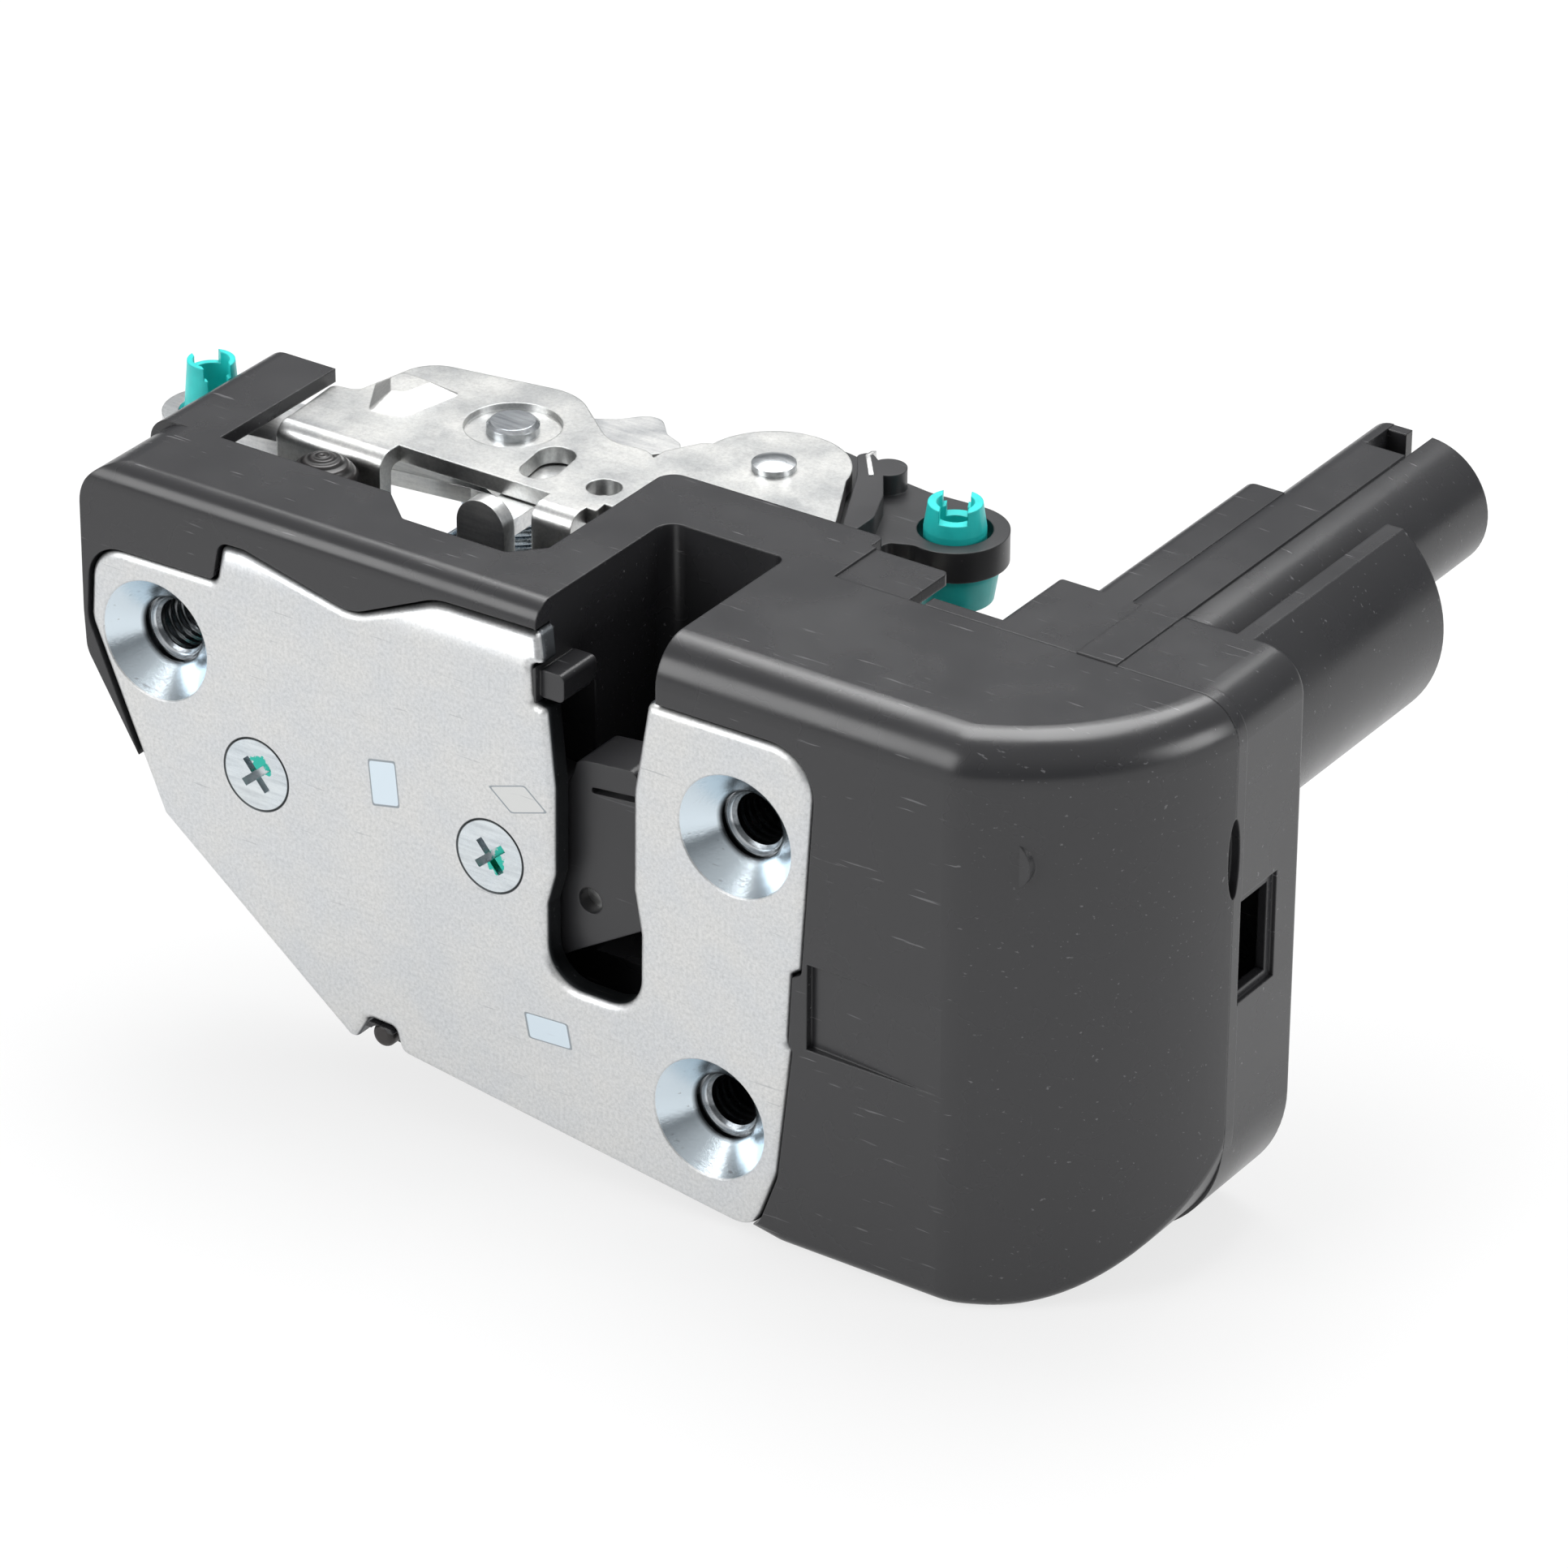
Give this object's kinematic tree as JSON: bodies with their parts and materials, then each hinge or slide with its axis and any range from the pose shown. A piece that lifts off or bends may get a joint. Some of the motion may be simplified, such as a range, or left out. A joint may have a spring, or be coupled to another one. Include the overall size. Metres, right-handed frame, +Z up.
{
  "type": "door latch actuator",
  "caption": "Vehicle door latch with power lock: zinc face plate, claw and pawl, levers with rod clips, black actuator housing with motor tube and connector",
  "frame": {"origin": "centre of the upper left mounting seat, on the outer face of the latch plate", "axes": "X runs along the plate towards the actuator block, Y goes back into the door, Z points up"},
  "size_m": [0.1584, 0.098, 0.0752],
  "materials": {
    "bright_zinc": "bright zinc plated sheet steel, faint rolling grain",
    "zinc_hardware": "bright zinc plated steel",
    "black_housing": "black glass-filled nylon, satin",
    "black_moulding": "black acetal, satin",
    "steel_lever": "zinc plated stamped steel",
    "spring_steel": "bright spring wire",
    "teal_clip": "teal acetal",
    "rubber": "dark rubber",
    "motor_steel": "plated steel",
    "natural_plastic": "natural acetal",
    "terminal_brass": "brass blade"
  },
  "bodies": {
    "frame": {"latch_plate": "bright_zinc", "face_screws": "zinc_hardware", "mount_nuts": "zinc_hardware", "front_housing": "black_housing", "rear_cover": "black_housing", "back_frame": "bright_zinc", "claw_pin": "zinc_hardware", "pawl_pin": "zinc_hardware", "claw_spring": "spring_steel", "pawl_spring": "spring_steel", "lever_rivet": "zinc_hardware", "lever_spring": "spring_steel", "lock_rivet": "zinc_hardware", "rubber_bumper": "rubber", "stop_buffer": "rubber", "motor_can": "motor_steel", "motor_cap": "black_moulding", "wheel_pin": "motor_steel", "terminal_pins": "terminal_brass", "status_switch": "black_moulding"},
    "claw_body": {"claw": "black_moulding", "claw_core": "steel_lever"},
    "pawl_body": {"pawl": "steel_lever", "pawl_lift_pin": "steel_lever"},
    "outside_body": {"outside_lever": "steel_lever", "outside_clip": "teal_clip"},
    "release_body": {"release_lever": "steel_lever"},
    "lock_body": {"lock_lever": "black_moulding", "lock_clip": "teal_clip"},
    "wheel_body": {"worm_wheel": "natural_plastic", "output_arm": "natural_plastic"},
    "worm_body": {"worm_shaft": "motor_steel"}
  },
  "joints": [
    {"name": "claw_turn", "type": "hinge", "parent": "frame", "child": "claw_body", "pos_m": [0.0499, 0.0076, -0.01375], "axis": [0, -1, 0], "range_deg": [-66, 0], "stiffness_Nm_per_rad": 0.06, "springref_deg": 20.05},
    {"name": "outside_turn", "type": "hinge", "parent": "frame", "child": "outside_body", "pos_m": [0.0249, 0.0398, 0.0129], "axis": [0, 0, 1], "range_deg": [-13, 4.5], "stiffness_Nm_per_rad": 0.12},
    {"name": "release_turn", "type": "hinge", "parent": "frame", "child": "release_body", "pos_m": [0.0249, 0.0398, 0.0165], "axis": [0, 0, 1], "range_deg": [-13, 4.5]},
    {"name": "pawl_turn", "type": "hinge", "parent": "frame", "child": "pawl_body", "pos_m": [0.015, 0.0073, -0.0137], "axis": [0, -1, 0], "range_deg": [-5.05, 14.5]},
    {"name": "lock_turn", "type": "hinge", "parent": "frame", "child": "lock_body", "pos_m": [0.0575, 0.0484, 0.015], "axis": [0, 0, 1], "range_deg": [0, 16]},
    {"name": "wheel_turn", "type": "hinge", "parent": "frame", "child": "wheel_body", "pos_m": [0.1045, 0.015, 0.0065], "axis": [0, 0, 1], "range_deg": [-16.4, 0.1]},
    {"name": "worm_turn", "type": "hinge", "parent": "frame", "child": "worm_body", "pos_m": [0.1203, 0.02, 0.0065], "axis": [0, 1, 0], "range_deg": [-0.1, 392]}
  ],
  "couplings": [
    {"joint": "release_turn", "follows": "outside_turn", "ratio": 1},
    {"joint": "pawl_turn", "follows": "outside_turn", "ratio": -1.11},
    {"joint": "wheel_turn", "follows": "lock_turn", "ratio": -1.02},
    {"joint": "worm_turn", "follows": "lock_turn", "ratio": 24.48}
  ]
}
